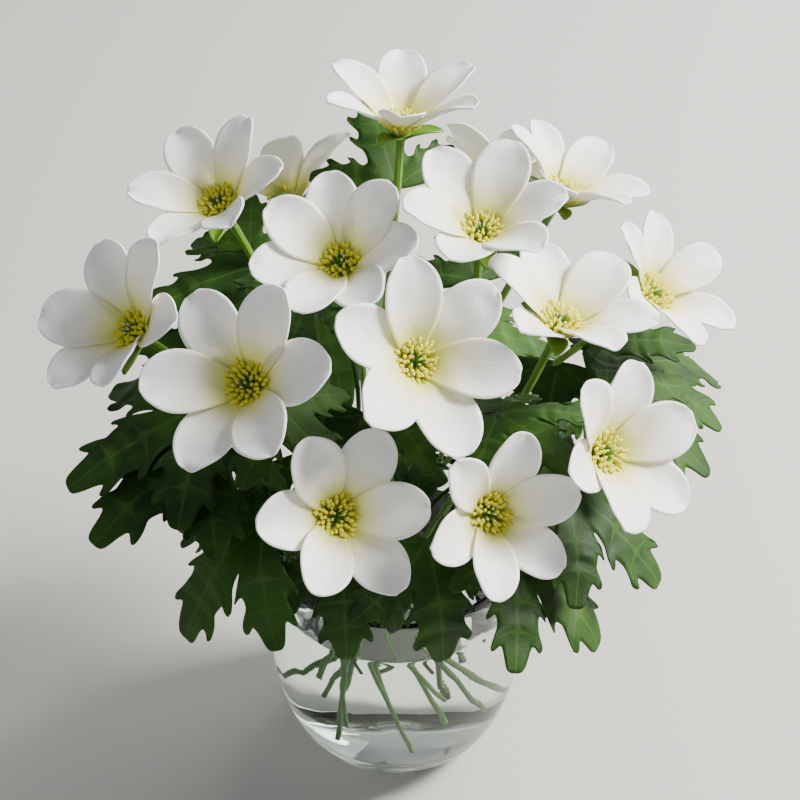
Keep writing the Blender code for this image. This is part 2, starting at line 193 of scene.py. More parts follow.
# %% Helpers for materials and node groups
def new_group(name, inputs, outputs):
    group = bpy.data.node_groups.new(name, "ShaderNodeTree")
    for socket, kind, default in inputs:
        made = group.interface.new_socket(socket, in_out="INPUT", socket_type=f"NodeSocket{kind}")
        if default is not None:
            made.default_value = default
    for socket, kind in outputs:
        group.interface.new_socket(socket, in_out="OUTPUT", socket_type=f"NodeSocket{kind}")
    return group, group.nodes.new("NodeGroupInput").outputs, group.nodes.new("NodeGroupOutput").inputs


def node(tree, kind, settings=(), **inputs):
    """A node with its settings. Each input, by name or as _ and its number, is linked or set to a value."""
    made = tree.nodes.new(f"ShaderNode{kind}")
    for key, value in dict(settings).items():
        setattr(made, key, value)
    for key, value in inputs.items():
        socket = made.inputs[int(key[1:])] if key[0] == "_" else made.inputs[key.replace("_", " ")]
        if isinstance(value, bpy.types.NodeSocket):
            tree.links.new(value, socket)
        else:
            socket.default_value = value
    return made


def calculate(tree, operation, first, second=0.0, third=0.0):
    return node(tree, "Math", {"operation": operation}, _0=first, _1=second, _2=third).outputs[0]


def blend_colours(tree, factor, first, second):
    mixed = node(tree, "Mix", {"data_type": "RGBA"}, _0=factor, _6=first, _7=second)
    return mixed.outputs[2]


def remap(tree, value, low, high, to_low=0.0, to_high=1.0):
    settings = {"interpolation_type": "SMOOTHSTEP"}
    return node(tree, "MapRange", settings, _0=value, _1=low, _2=high, _3=to_low, _4=to_high).outputs[0]


# %% Node group: a fine grain of cells
cell_grain, given, result = new_group(
    "cell grain",
    [("Vector", "Vector", None), ("Cell Size", "Float", None)],
    [("Height", "Float"), ("Value", "Float")])
CELL_SOFTNESS = 0.5
BROADER = 0.13
density = calculate(cell_grain, "DIVIDE", 1.0, given["Cell Size"])
cells = node(cell_grain, "TexVoronoi", {"feature": "SMOOTH_F1"},
             Vector=given["Vector"], Scale=density, Smoothness=CELL_SOFTNESS)
broad = node(cell_grain, "TexNoise", Vector=given["Vector"],
             Scale=calculate(cell_grain, "MULTIPLY", density, BROADER))
cell_grain.links.new(calculate(cell_grain, "SUBTRACT", 1.0, cells.outputs["Distance"]), result["Height"])
cell_grain.links.new(broad.outputs["Fac"], result["Value"])

# %% Node group: colour that drifts
colour_drift, given, result = new_group(
    "colour drift",
    [("Vector", "Vector", None), ("Patch Size", "Float", None), ("First", "Color", None),
     ("Second", "Color", None), ("Evenness", "Float", 0.3)],
    [("Color", "Color")])
NOISE_MIDDLE = 0.5
patches = node(colour_drift, "TexNoise", Vector=given["Vector"],
               Scale=calculate(colour_drift, "DIVIDE", 1.0, given["Patch Size"]), Detail=3.0)
low_end = calculate(colour_drift, "SUBTRACT", NOISE_MIDDLE, given["Evenness"])
high_end = calculate(colour_drift, "ADD", NOISE_MIDDLE, given["Evenness"])
drifted = remap(colour_drift, patches.outputs["Fac"], low_end, high_end)
colour_drift.links.new(blend_colours(colour_drift, drifted, given["First"], given["Second"]), result["Color"])

# %% Node group: veins that fan along a blade
blade_veins, given, result = new_group(
    "blade veins",
    [("UV", "Vector", None), ("Count", "Float", None), ("Waver", "Float", None)],
    [("Vein", "Float"), ("Along", "Float")])
WAVER_SCALE = 4.0
VEIN_EDGE = 0.35
split = node(blade_veins, "SeparateXYZ", Vector=given["UV"])
waver = node(blade_veins, "TexNoise", Vector=given["UV"], Scale=WAVER_SCALE)
pushed = calculate(blade_veins, "MULTIPLY_ADD", waver.outputs["Fac"], given["Waver"], split.outputs["X"])
counted = calculate(blade_veins, "MULTIPLY", pushed, given["Count"])
turns = calculate(blade_veins, "MULTIPLY", counted, math.pi)
ridge = calculate(blade_veins, "ABSOLUTE", calculate(blade_veins, "SINE", turns))
blade_veins.links.new(remap(blade_veins, ridge, VEIN_EDGE, 0.0), result["Vein"])
blade_veins.links.new(split.outputs["Y"], result["Along"])


# %% A new material with a Principled shader
def new_material(name, **constants):
    """A material with these constants on its shader's own sockets, and its tree and shader to build on."""
    made = bpy.data.materials.new(name)
    made.use_nodes = True
    tree = made.node_tree
    shader = tree.nodes["Principled BSDF"]
    for key, value in constants.items():
        shader.inputs[key.replace("_", " ")].default_value = value
    return made, tree, shader


def shared(tree, group, **inputs):
    made = node(tree, "Group", {"node_tree": group}, **inputs)
    return made.outputs


def ground(tree, cell_size):
    """What a finish starts from: the place on the body, and a grain of cells of a size in metres."""
    spot = node(tree, "TexCoord").outputs["Object"]
    return spot, shared(tree, cell_grain, Vector=spot, Cell_Size=cell_size)


def stored(tree, name):
    """The number that every point of the mesh holds under this name."""
    return node(tree, "Attribute", {"attribute_name": name}).outputs["Fac"]


def dress(tree, shader, colour, height, distance, strength):
    """Gives the shader its colour, and the height as a bump."""
    tree.links.new(colour, shader.inputs["Base Color"])
    raised = node(tree, "Bump", Height=height, Distance=distance, Strength=strength)
    tree.links.new(raised.outputs["Normal"], shader.inputs["Normal"])


# %% [markdown]
# ## Finish: the petals
#
# The petals are thin, soft and white, and light passes a little way into them. Towards the foot they turn
# cream and then greenish yellow. Faint veins run from foot to tip, and they carry the yellow a bit further
# out. The pattern follows each petal's own UV map: across is 0 to 1, and along is 0 at the foot.

# %% Material: petal
WHITE = (0.90, 0.905, 0.895, 1.0)
SOFT_WHITE = (0.85, 0.86, 0.83, 1.0)
CREAM = (0.86, 0.83, 0.56, 1.0)
FOOT_YELLOW = (0.69, 0.69, 0.15, 1.0)
# Along the petal, each colour goes from none at the first of these to all of it at the second
CREAM_FADE = (0.68, 0.20)
YELLOW_FADE = (0.42, 0.16)
VEIN_LEAD = -0.08
VEIN_SINK = -0.6
petal_white, tree, shader = new_material(
    "petal_white", Roughness=0.5, Subsurface_Weight=0.35, Subsurface_Scale=0.0012,
    Subsurface_Radius=(1.0, 0.95, 0.75), Sheen_Weight=0.12, Specular_IOR_Level=0.35)
uv = node(tree, "UVMap").outputs["UV"]
veins = shared(tree, blade_veins, UV=uv, Count=13.0, Waver=0.07)
spot, grain = ground(tree, cell_size=0.00045)
white = shared(tree, colour_drift, Vector=spot, Patch_Size=0.014, First=WHITE, Second=SOFT_WHITE)
streaked = calculate(tree, "MULTIPLY_ADD", veins["Vein"], VEIN_LEAD, veins["Along"])
creamy = blend_colours(tree, remap(tree, streaked, *CREAM_FADE), white["Color"], CREAM)
footed = blend_colours(tree, remap(tree, streaked, *YELLOW_FADE), creamy, FOOT_YELLOW)
relief = calculate(tree, "MULTIPLY_ADD", veins["Vein"], VEIN_SINK, grain["Height"])
dress(tree, shader, footed, relief, distance=0.00006, strength=0.6)

# %% [markdown]
# ## Finish: stamens and pistils
#
# Each stamen is a pale thread that carries a yellow anther, and the pistils in the middle are deep green with
# pale tips. A number stored on every point of the mesh, 0 at the foot and 1 at the tip, carries the change.

# %% Material: stamen
# Each pair is for the flower's middle and for the outer stamens
THREADS = ((0.55, 0.58, 0.05, 1.0), (0.76, 0.74, 0.16, 1.0))
ANTHERS = ((0.60, 0.57, 0.025, 1.0), (0.81, 0.76, 0.07, 1.0))
POLLEN = (0.86, 0.80, 0.16, 1.0)
POLLEN_FROM = 0.65
ANTHER_STARTS = (0.5, 0.65)
stamen_yellow, tree, shader = new_material(
    "stamen_yellow", Roughness=0.6, Subsurface_Weight=0.35, Subsurface_Scale=0.0009,
    Subsurface_Radius=(1.0, 0.9, 0.35))
_, grain = ground(tree, cell_size=0.00016)
height = stored(tree, "height")
tone = stored(tree, "tone")
thread = blend_colours(tree, tone, *THREADS)
anther = blend_colours(tree, tone, *ANTHERS)
dusted = blend_colours(tree, remap(tree, grain["Height"], POLLEN_FROM, 1.0), anther, POLLEN)
tipped = blend_colours(tree, remap(tree, height, *ANTHER_STARTS), thread, dusted)
dress(tree, shader, tipped, grain["Height"], distance=0.00008, strength=0.8)

# %% Material: pistil
PISTIL_DARK = (0.06, 0.16, 0.01, 1.0)
PISTIL_LIGHT = (0.15, 0.29, 0.02, 1.0)
PISTIL_TIP = (0.62, 0.66, 0.26, 1.0)
TIP_STARTS = (0.62, 0.95)
pistil_green, tree, shader = new_material("pistil_green", Roughness=0.45, Subsurface_Weight=0.1,
                                          Subsurface_Scale=0.0005)
spot, grain = ground(tree, cell_size=0.0002)
height = stored(tree, "height")
belly = shared(tree, colour_drift, Vector=spot, Patch_Size=0.0015, First=PISTIL_DARK, Second=PISTIL_LIGHT)
tipped = blend_colours(tree, remap(tree, height, *TIP_STARTS), belly["Color"], PISTIL_TIP)
dress(tree, shader, tipped, grain["Height"], distance=0.00008, strength=0.7)

# %% [markdown]
# ## Finish: leaves and stems
#
# A leaf is deep green and slightly waxy. Its sunken veins are paler, and its colour drifts from blade to
# blade. The veins are real grooves in the mesh; a number on every point says how near a vein it lies, so that
# the colour can follow. The stems are a fresher green, and it turns deeper where they stand in the water.

# %% Material: leaf
LEAF_DARK = (0.005, 0.024, 0.002, 1.0)
LEAF_LIGHT = (0.027, 0.083, 0.004, 1.0)
FRECKLES = (0.036, 0.100, 0.008, 1.0)
VEIN_GREEN = (0.08, 0.17, 0.03, 1.0)
# (low, high, result at low, result at high), for the freckles and the roughness by the broad grain and for
# the vein's green by how near the vein is
FRECKLED = (0.4, 0.7, 0.0, 0.3)
ROUGHENED = (0.3, 0.7, 0.54, 0.68)
VEINED = (0.88, 1.0, 0.0, 0.27)
leaf_green, tree, shader = new_material(
    "leaf_green", Subsurface_Weight=0.08, Subsurface_Scale=0.0008, Subsurface_Radius=(0.6, 1.0, 0.25),
    Specular_IOR_Level=0.2)
spot, grain = ground(tree, cell_size=0.0005)
near_vein = stored(tree, "vein")
drifted = shared(tree, colour_drift, Vector=spot, Patch_Size=0.022, First=LEAF_DARK, Second=LEAF_LIGHT,
                 Evenness=0.22)
freckled = blend_colours(tree, remap(tree, grain["Value"], *FRECKLED), drifted["Color"], FRECKLES)
veined = blend_colours(tree, remap(tree, near_vein, *VEINED), freckled, VEIN_GREEN)
tree.links.new(remap(tree, grain["Value"], *ROUGHENED), shader.inputs["Roughness"])
dress(tree, shader, veined, grain["Height"], distance=0.00008, strength=0.4)

# %% Material: stem
STEM_DARK = (0.06, 0.17, 0.010, 1.0)
STEM_LIGHT = (0.13, 0.28, 0.020, 1.0)
STEM_WET = (0.05, 0.19, 0.0, 1.0)
WET_BELOW = (0.052, 0.040)
stem_green, tree, shader = new_material("stem_green", Roughness=0.4, Subsurface_Weight=0.1,
                                        Subsurface_Scale=0.001, Coat_Weight=0.1, Coat_Roughness=0.3)
spot, grain = ground(tree, cell_size=0.0004)
fresh = shared(tree, colour_drift, Vector=spot, Patch_Size=0.018, First=STEM_DARK, Second=STEM_LIGHT)
level = node(tree, "SeparateXYZ", Vector=spot).outputs["Z"]
wetted = blend_colours(tree, remap(tree, level, *WET_BELOW), fresh["Color"], STEM_WET)
dress(tree, shader, wetted, grain["Height"], distance=0.00008, strength=0.5)

# %% [markdown]
# ## Finish: glass and water
#
# Clear glass is a plain shader with full transmission: its looks come from its shape, the thick foot above
# all. Each value stands on the shader's own socket.

# %% Material: glass and water
clear_glass, _, _ = new_material(
    "clear_glass", Base_Color=(0.92, 0.975, 0.945, 1.0), Roughness=0.015, IOR=1.5, Transmission_Weight=1.0,
    Specular_Tint=(0.5, 0.5, 0.5, 1.0))
still_water, _, _ = new_material(
    "still_water", Base_Color=(0.985, 0.995, 0.985, 1.0), Roughness=0.0, IOR=1.333, Transmission_Weight=1.0,
    Specular_Tint=(0.15, 0.15, 0.15, 1.0))

# %% [markdown]
# ## Where each flower stands
#
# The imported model's own numbers say where each flower's centre is, which way it faces, how it leans and what
# its petals are like. The same numbers place the finer pieces.

# %% The flowers
# Place in mm, (bearing that it faces, lean), petals, angle of the first, petal length in mm, petal rise
BLOOMS = {
    "front": ((3, -20, 122), (302, 43), 6, 23, 18.9, 29),
    "left_front": ((-26, -23, 119), (238, 39), 6, 25, 18.2, 24),
    "low_left": ((-11, -39, 102), (296, 45), 6, 47, 16.6, 29),
    "low_right": ((16, -39, 103), (300, 56), 6, 60, 15.8, 31),
    "right_front": ((37, -28, 107), (321, 50), 6, 46, 16.6, 30),
    "right_crown": ((30, -8, 120), (8, 16), 6, 15, 17.0, 26),
    "right": ((49, 12, 111), (344, 39), 6, 34, 15.8, 26),
    "crown": ((16, 7, 130), (276, 10), 6, 2, 16.8, 31),
    "left_crown": ((-10, 4, 125), (244, 25), 7, 15, 16.8, 32),
    "top": ((1, 43, 129), (75, 10), 6, 44, 17.6, 31),
    "left_back": ((-34, 25, 123), (210, 24), 6, 53, 17.4, 30),
    "left": ((-49, 0, 112), (206, 40), 6, 39, 17.6, 27),
    "right_back": ((32, 28, 123), (20, 26), 6, 12, 16.0, 30),
    "back_left": ((-22, 48, 108), (115, 50), 6, 20, 16.8, 29),
    "back_right": ((22, 52, 107), (70, 52), 6, 50, 16.8, 29),
}
# The stems of the inner flowers stand in the middle of the glass
INNER_BLOOMS = ("front", "right_crown", "crown", "left_crown", "top", "left_back", "right_back")
OUTER_BLOOMS = tuple(name for name in BLOOMS if name not in INNER_BLOOMS)
# Some flowers have slimmer petals: the share of the usual width
SLIM_PETALS = {"top": 0.87, "right_back": 0.87, "right": 0.87, "left_back": 0.92, "low_right": 0.92,
               "back_left": 0.9, "back_right": 0.9}


def bearing_vector(bearing):
    return Vector((math.cos(math.radians(bearing)), math.sin(math.radians(bearing)), 0.0))


def bloom_matrix(where, facing):
    bearing, lean = facing[0], math.radians(facing[1])
    axis = bearing_vector(bearing) * math.sin(lean) + UP * math.cos(lean)
    side = UP.cross(axis).normalized()
    up = axis.cross(side)
    return Matrix.Translation(Vector(where) * MM) @ Matrix((side, up, axis)).transposed().to_4x4()


# %% [markdown]
# ## A blade, shaped row by row
#
# Petals and bracts are the same kind of thing: a soft oval sheet. It could be drawn as an outline and filled,
# but a grid bends and subdivides better. The grid stands upright. Its outer columns are pushed forward, which
# makes the hollow, and then each row is scaled to the width that the blade has there and slid to its height.

# %% Shape a blade
BLADE_COLUMNS = 4
# How close to its row or column a point lies
NEAR = 0.01
# Rows that have got their shape wait this far up, clear of those still to come
ASIDE = 2.0


def upright_grid(name, columns, rows):
    """A grid of one unit that stands upright and faces the front, in edit mode."""
    bpy.ops.mesh.primitive_grid_add(x_subdivisions=columns, y_subdivisions=rows, size=1.0,
                                    rotation=(math.pi / 2, 0.0, 0.0))
    grid = bpy.context.object
    grid.name = name
    only(grid)
    bpy.ops.object.transform_apply(location=False, rotation=True, scale=False)
    edit(grid)
    return grid


def slide_all(value):
    bpy.ops.mesh.select_all(action="SELECT")
    bpy.ops.transform.translate(value=value)


def make_blade(name, outline, half_width, hollow):
    """A blade one unit long, along Z from the origin. Each row of its outline is (height, share of width)."""
    last = len(outline) - 1
    blade = upright_grid(name, BLADE_COLUMNS, last)
    for share in (0.5, 1.0):
        pick(blade, lambda co: abs(abs(co.x) - share / 2) < NEAR)
        bpy.ops.transform.translate(value=(0.0, -hollow * share ** 2, 0.0))
    for k, (height, width) in enumerate(outline):
        level = k / last - 0.5
        pick(blade, lambda co: abs(co.z - level) < NEAR)
        bpy.ops.transform.translate(value=(0.0, 0.0, ASIDE + height - level))
        half = half_width * width
        bpy.ops.transform.resize(value=(2 * half, half, 1.0), center_override=(0.0, 0.0, ASIDE + height))
    slide_all((0.0, 0.0, -ASIDE))
    leave()
    return blade


PETAL_OUTLINE = ((-0.06, 0.30), (0.08, 0.45), (0.24, 0.66), (0.40, 0.89), (0.57, 1.03), (0.73, 1.00),
                 (0.86, 0.84), (0.96, 0.57), (1.02, 0.26))
petal_master = make_blade("petal_master", PETAL_OUTLINE, half_width=0.305, hollow=0.26)
BRACT_OUTLINE = ((0.0, 0.45), (0.15, 0.82), (0.38, 1.05), (0.62, 0.95), (0.84, 0.60), (1.0, 0.16))
bract_master = make_blade("bract_master", BRACT_OUTLINE, half_width=0.27, hollow=0.30)

# %% [markdown]
# ## Six petals make a flower
#
# No two petals are alike. Each copy gets its own length, width, rise and a few gentle dents, is bent back
# along its length by a Simple Deform modifier, and then leans out from the flower's centre. Every second one
# stands a little steeper, so that it lies on its neighbours, as an inner whorl does.

# %% Build the petals
PETAL_CURL = 15.0
WHORL_RISE = 5.0
WHORL_LIFT = 0.25 * MM
HUB_RADIUS = 1.8 * MM
PETAL_THICK = 0.34 * MM
PETAL_DENTS = 0.42 * MM
# How far one petal may differ from the next: turns and rises in degrees, lengths and widths as shares
TURNS = (-1.4, 1.4)
LENGTHS = (0.96, 1.04)
RISES = (-2, 2)
WIDTHS = (0.96, 1.06)
# A blade is shaped upright, and it leans out towards this bearing
UPRIGHT = 90
SHAPED_TOWARDS = 90
PETAL_DRAW = 7
SEEDS_APART = 10


def dent(obj, offset, seed, uniform=0.0):
    """Moves each point of the mesh a little way at random, in or out along its normal."""
    edit(obj)
    bpy.ops.transform.vertex_random(offset=offset, uniform=uniform, normal=1.0, seed=seed)
    leave()


def grow_blade(master, name, size, width, slope, curl, dents, seed):
    """A copy of the master that leans out from the origin towards +Y, bent back along its length."""
    blade = copy_of(master, name)
    place(blade, Matrix.Diagonal((size * width, size, size, 1.0)))
    dent(blade, dents, seed)
    add_modifier(blade, "SIMPLE_DEFORM", deform_method="BEND", deform_axis="X", angle=math.radians(2 * curl))
    apply_modifiers(blade)
    place(blade, rotation(slope + curl - UPRIGHT, "X"))
    return blade


def make_petals(name, where, petals, spin, length, rise, draw, seed):
    grown = []
    for k in range(petals):
        turn = draw.uniform(*TURNS)
        size = length * MM * draw.uniform(*LENGTHS)
        slope = rise + draw.uniform(*RISES) + k % 2 * WHORL_RISE
        width = draw.uniform(*WIDTHS) * SLIM_PETALS.get(name, 1.0)
        blade = grow_blade(petal_master, "petal", size, width, slope, PETAL_CURL, PETAL_DENTS, seed + k)
        angle = spin + 360 / petals * k + turn - SHAPED_TOWARDS
        foot = Matrix.Translation((0.0, HUB_RADIUS, k % 2 * WHORL_LIFT))
        place(blade, where @ rotation(angle, "Z") @ foot)
        grown.append(blade)
    whorl = joined(f"{name}_petals", grown)
    smooth_subdivision(whorl, levels=2)
    thicken(whorl, PETAL_THICK)
    install(whorl, petal_white, f"bloom_{name}_petals")
    return whorl


draw = random.Random(PETAL_DRAW)
places = {name: bloom_matrix(values[0], values[1]) for name, values in BLOOMS.items()}
for number, name in enumerate(INNER_BLOOMS + OUTER_BLOOMS):
    _, _, petals, spin, length, rise = BLOOMS[name]
    flower = make_petals(name, places[name], petals, spin, length, rise, draw, SEEDS_APART * number)
print("a flower's petals:", len(flower.data.polygons), "faces")

# %% [markdown]
# ## Stamens and pistils
#
# A stamen is one turned shape: a thin thread that swells into an anther. It starts as a disc of six sides,
# extruded upwards and scaled again and again. The pistil is made in the same way, with a fat belly and a
# narrow, pale beak, and so are the cushion that they stand on and, later, the cup behind a flower.


# %% Turn a shape, ring by ring
def raise_rings(name, sides, rings):
    """A closed turned shape: a disc at the first ring, extruded to each next (radius, height) in mm."""
    radius, height = rings[0]
    bpy.ops.mesh.primitive_circle_add(vertices=sides, radius=radius * MM, fill_type="NGON",
                                      location=(0.0, 0.0, height * MM))
    obj = bpy.context.object
    obj.name = name
    edit(obj)
    for (before, low), (after, high) in zip(rings, rings[1:]):
        bpy.ops.mesh.extrude_region_move(TRANSFORM_OT_translate={"value": (0.0, 0.0, (high - low) * MM)})
        bpy.ops.transform.resize(value=(after / before, after / before, 1.0),
                                 center_override=(0.0, 0.0, high * MM))
    bpy.ops.mesh.select_all(action="SELECT")
    bpy.ops.mesh.normals_make_consistent(inside=False)
    leave()
    only(obj)
    bpy.ops.object.transform_apply(location=True, rotation=False, scale=False)
    return obj


def make_bead(name, sides, profile):
    """A small turned shape of (height, radius) in mm, with its height and a tone stored on every point."""
    bead = raise_rings(name, sides, [(radius, height) for height, radius in profile])
    top = profile[-1][0] * MM
    height = bead.data.attributes.new("height", "FLOAT", "POINT")
    for point, value in zip(bead.data.vertices, height.data):
        value.value = max(0.0, point.co.z) / top
    bead.data.attributes.new("tone", "FLOAT", "POINT")
    return bead


STAMEN = ((0.0, 0.20), (1.2, 0.18), (2.1, 0.20), (2.5, 0.36), (3.1, 0.43), (3.8, 0.36), (4.3, 0.14))
PISTIL = ((0.0, 0.30), (0.5, 0.50), (1.2, 0.52), (1.9, 0.30), (2.6, 0.20), (2.9, 0.24), (3.1, 0.12))
CUSHION = ((-0.45, 1.5), (-0.1, 2.5), (0.35, 2.3), (0.7, 1.5), (0.85, 0.5))
stamen_master = make_bead("stamen_master", sides=6, profile=STAMEN)
pistil_master = make_bead("pistil_master", sides=7, profile=PISTIL)
cushion_master = make_bead("cushion_master", sides=12, profile=CUSHION)

# %% [markdown]
# The stamens stand round the pistils in a spiral, each one a constant angle on from the last, as a flower
# lays them. The inner ones are short, upright and olive yellow. The outer ones lean out over the petals and
# are paler. All of them stand on a low cushion, which closes the flower's middle.

# %% Build the centres
GOLDEN_ANGLE = math.radians(137.508)
STAMENS = 80
PISTILS = 9
CENTRE_FOOT = 0.45 * MM
# Each pair is for the middle and for the edge: the distance out in mm, the lean in degrees, and the height
STAMEN_SPREAD = {"radii": (0.9, 2.1), "leans": (4, 54), "heights": (0.62, 0.86)}
PISTIL_SPREAD = {"radii": (0.1, 0.8), "leans": (0, 26), "heights": (1.05, 0.85)}
# How far one bead may differ from the next: in degrees, in radians round the spiral, in height and in tone
LEAN_JITTER = 6
TURN_JITTER = 0.2
HEIGHT_JITTER = (0.9, 1.1)
TONE_JITTER = 0.25


def spiral(master, count, draw, radii, leans, heights):
    """Copies of a bead on a spiral, from the middle out, as a spread says."""
    grown = []
    for k in range(count):
        out = math.sqrt((k + 0.5) / count)
        radius, lean, height = (low + (high - low) * out for low, high in (radii, leans, heights))
        bead = copy_of(master, "bead")
        lean += draw.uniform(-LEAN_JITTER, LEAN_JITTER)
        turn = k * GOLDEN_ANGLE + draw.uniform(-TURN_JITTER, TURN_JITTER)
        height *= draw.uniform(*HEIGHT_JITTER)
        stand = Matrix.Rotation(turn, 4, "Z") @ Matrix.Translation((radius * MM, 0.0, 0.0))
        place(bead, stand @ rotation(lean, "Y") @ Matrix.Diagonal((1.0, 1.0, height, 1.0)))
        shade = min(1.0, max(0.0, out ** 2 + draw.uniform(-TONE_JITTER, TONE_JITTER)))
        bead.data.attributes["tone"].data.foreach_set("value", [shade] * len(bead.data.vertices))
        grown.append(bead)
    return grown


for name in BLOOMS:
    draw = random.Random(name)
    seat = places[name] @ Matrix.Translation((0.0, 0.0, CENTRE_FOOT))
    threads = spiral(stamen_master, STAMENS, draw, **STAMEN_SPREAD)
    stamens = joined(f"{name}_stamens", threads + [copy_of(cushion_master, "cushion")])
    pistils = joined(f"{name}_pistils", spiral(pistil_master, PISTILS, draw, **PISTIL_SPREAD))
    for bunch, finish in ((stamens, stamen_yellow), (pistils, pistil_green)):
        place(bunch, seat)
        shade_smooth(bunch)
        install(bunch, finish, f"bloom_{name}_centre")
print("one flower's stamens:", len(stamens.data.polygons), "faces")

# %% [markdown]
# ## Stems
#
# A stem leaves its flower straight back along the flower's axis, bends to the mouth of the glass and runs
# down into the water with a slight bow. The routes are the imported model's own. Each is a curve with a round
# bevel, about half as thick at its cut end, made a mesh and joined with the flower's cup and its three green
# bracts.

# %% Where the stems run
MOUTH_HEIGHT = 50.0 * MM
FLOOR_HEIGHT = 9.0 * MM
# Each ring: the bearing of its first slot, its radius at the mouth and at the floor, how far its stems turn
# on the way down, and the shares of that way that they go
INNER_RING = {"first": -46, "mouth": 4.0 * MM, "floor": 11.5 * MM, "turn": 110, "shares": (1.0, 0.72, 0.88)}
OUTER_RING = {"first": -98, "mouth": 8.0 * MM, "floor": 16.0 * MM, "turn": 110, "shares": (0.95, 0.7, 0.84)}
LEAF_RING = {"first": 178, "mouth": 12.4 * MM, "floor": 19.4 * MM, "turn": 70, "shares": (0.3, 0.42)}
STEM_PULLS = (0.38, 0.34)
STEM_STEPS = 18
WATER_STEPS = 6
STEM_BOW = 1.1 * MM
SEAT_BELOW = 0.6 * MM
TUBE_ROUNDNESS = 2
TUBE_WELD = 0.01 * MM
SHARP_ANGLE = 40


def bezier(p0, p1, p2, p3, steps):
    points = []
    for k in range(steps + 1):
        t = k / steps
        u = 1 - t
        points.append(p0 * u ** 3 + p1 * 3 * u * u * t + p2 * 3 * u * t * t + p3 * t ** 3)
    return points


def stem_route(top, down, ring, slot):
    """From the top, out along down, through the mouth of the glass and in a slight bow towards its floor."""
    bearing, share = slot
    mouth = bearing_vector(bearing) * ring["mouth"] + UP * MOUTH_HEIGHT
    floor = bearing_vector(bearing + ring["turn"]) * ring["floor"] + UP * FLOOR_HEIGHT
    reach = (top - mouth).length
    upward = (mouth - floor).normalized()
    top_pull, mouth_pull = (pull * reach for pull in STEM_PULLS)
    above = bezier(top, top + down * top_pull, mouth + upward * mouth_pull, mouth, STEM_STEPS)
    bow = bearing_vector(bearing + ring["turn"] / 2) * STEM_BOW
    below = []
    for k in range(1, WATER_STEPS + 1):
        below.append(mouth.lerp(floor, share * k / WATER_STEPS) + bow * math.sin(math.pi * k / WATER_STEPS))
    return above + below


def dealt_slots(spots, ring):
    """A slot in the ring for each name: its bearing, evenly spaced, and its share of the way down."""
    order = sorted(spots, key=lambda name: math.atan2(spots[name][1], spots[name][0]))
    apart = 360 / len(order)
    shares = ring["shares"]
    return {name: (ring["first"] + apart * k, shares[k % len(shares)]) for k, name in enumerate(order)}


def tube(points, radii):
    """A round stalk along the points, whose radius goes from the first to the second of radii."""
    curve = bpy.data.curves.new("stalk", "CURVE")
    curve.dimensions = "3D"
    curve.bevel_depth = 1.0
    curve.bevel_resolution = TUBE_ROUNDNESS
    curve.use_fill_caps = True
    spline = curve.splines.new("POLY")
    spline.points.add(len(points) - 1)
    for k, (knot, point) in enumerate(zip(spline.points, points)):
        knot.co = (*point, 1.0)
        knot.radius = radii[0] + (radii[1] - radii[0]) * k / (len(points) - 1)
    obj = bpy.data.objects.new("stalk", curve)
    bpy.context.scene.collection.objects.link(obj)
    only(obj)
    bpy.ops.object.convert(target="MESH")
    made = bpy.context.object
    edit(made)
    bpy.ops.mesh.remove_doubles(threshold=TUBE_WELD)
    leave()
    bpy.ops.object.shade_smooth_by_angle(angle=math.radians(SHARP_ANGLE))
    return made


# %% Build the stems with their bracts
BRACTS = 3
BRACT_LENGTH = 8.0 * MM
BRACT_RISE = 14.0
BRACT_SPIN = 30
BRACTS_BELOW = 1.6 * MM
BRACT_HUB_RADIUS = 0.9 * MM
BRACT_THICK = 0.4 * MM
BRACT_DENTS = 0.2 * MM
BRACT_SEED = 900
STEM_RADII = (0.85 * MM, 0.42 * MM)
CUP = ((-3.4, 0.84), (-2.2, 0.95), (-1.2, 1.5), (-0.5, 2.05), (-0.15, 1.9))
cup_master = make_bead("cup_master", sides=14, profile=CUP)


def make_stem(name, matrix, spin, ring, slot, seed):
    """A flower's stem with its ruff of bracts and its cup, as one piece. Gives the route of the stem."""
    axis = matrix.to_3x3() @ UP
    route = stem_route(matrix @ (UP * -SEAT_BELOW), -axis, ring, slot)
    stalk = tube(route, STEM_RADII)
    collar = matrix @ Matrix.Translation((0.0, 0.0, -BRACTS_BELOW))
    bracts = []
    for k in range(BRACTS):
        bract = grow_blade(bract_master, "bract", BRACT_LENGTH, 1.0, BRACT_RISE, PETAL_CURL, BRACT_DENTS,
                           seed + k)
        angle = spin + BRACT_SPIN + 360 / BRACTS * k - SHAPED_TOWARDS
        place(bract, collar @ rotation(angle, "Z") @ Matrix.Translation((0.0, BRACT_HUB_RADIUS, 0.0)))
        bracts.append(bract)
    ruff = joined("ruff", bracts)
    smooth_subdivision(ruff, levels=2)
    thicken(ruff, BRACT_THICK)
    cup = copy_of(cup_master, "cup")
    place(cup, matrix)
    shade_smooth(cup)
    stem = joined(f"{name}_stem", [stalk, ruff, cup])
    install(stem, stem_green, f"bloom_{name}_stem")
    return route


routes = {}
for ring, names in ((INNER_RING, INNER_BLOOMS), (OUTER_RING, OUTER_BLOOMS)):
    slots = dealt_slots({name: BLOOMS[name][0] for name in names}, ring)
    for name in names:
        spin = BLOOMS[name][3]
        routes[name] = make_stem(name, places[name], spin, ring, slots[name], BRACT_SEED + len(routes))
print("stems:", len(routes))

# %% [markdown]
# ## A leaf, lobe by lobe
#
# The leaves are cut nearly to the middle into five lobes, and each lobe has two teeth a side that point
# forward. One half of a lobe is a narrow strip of faces. Its side edges are extruded into two teeth, and a
# Mirror modifier makes the other half. Five copies are turned round the leaf's foot and welded together where
# they meet. The small leaves have three lobes and are made in the same way.

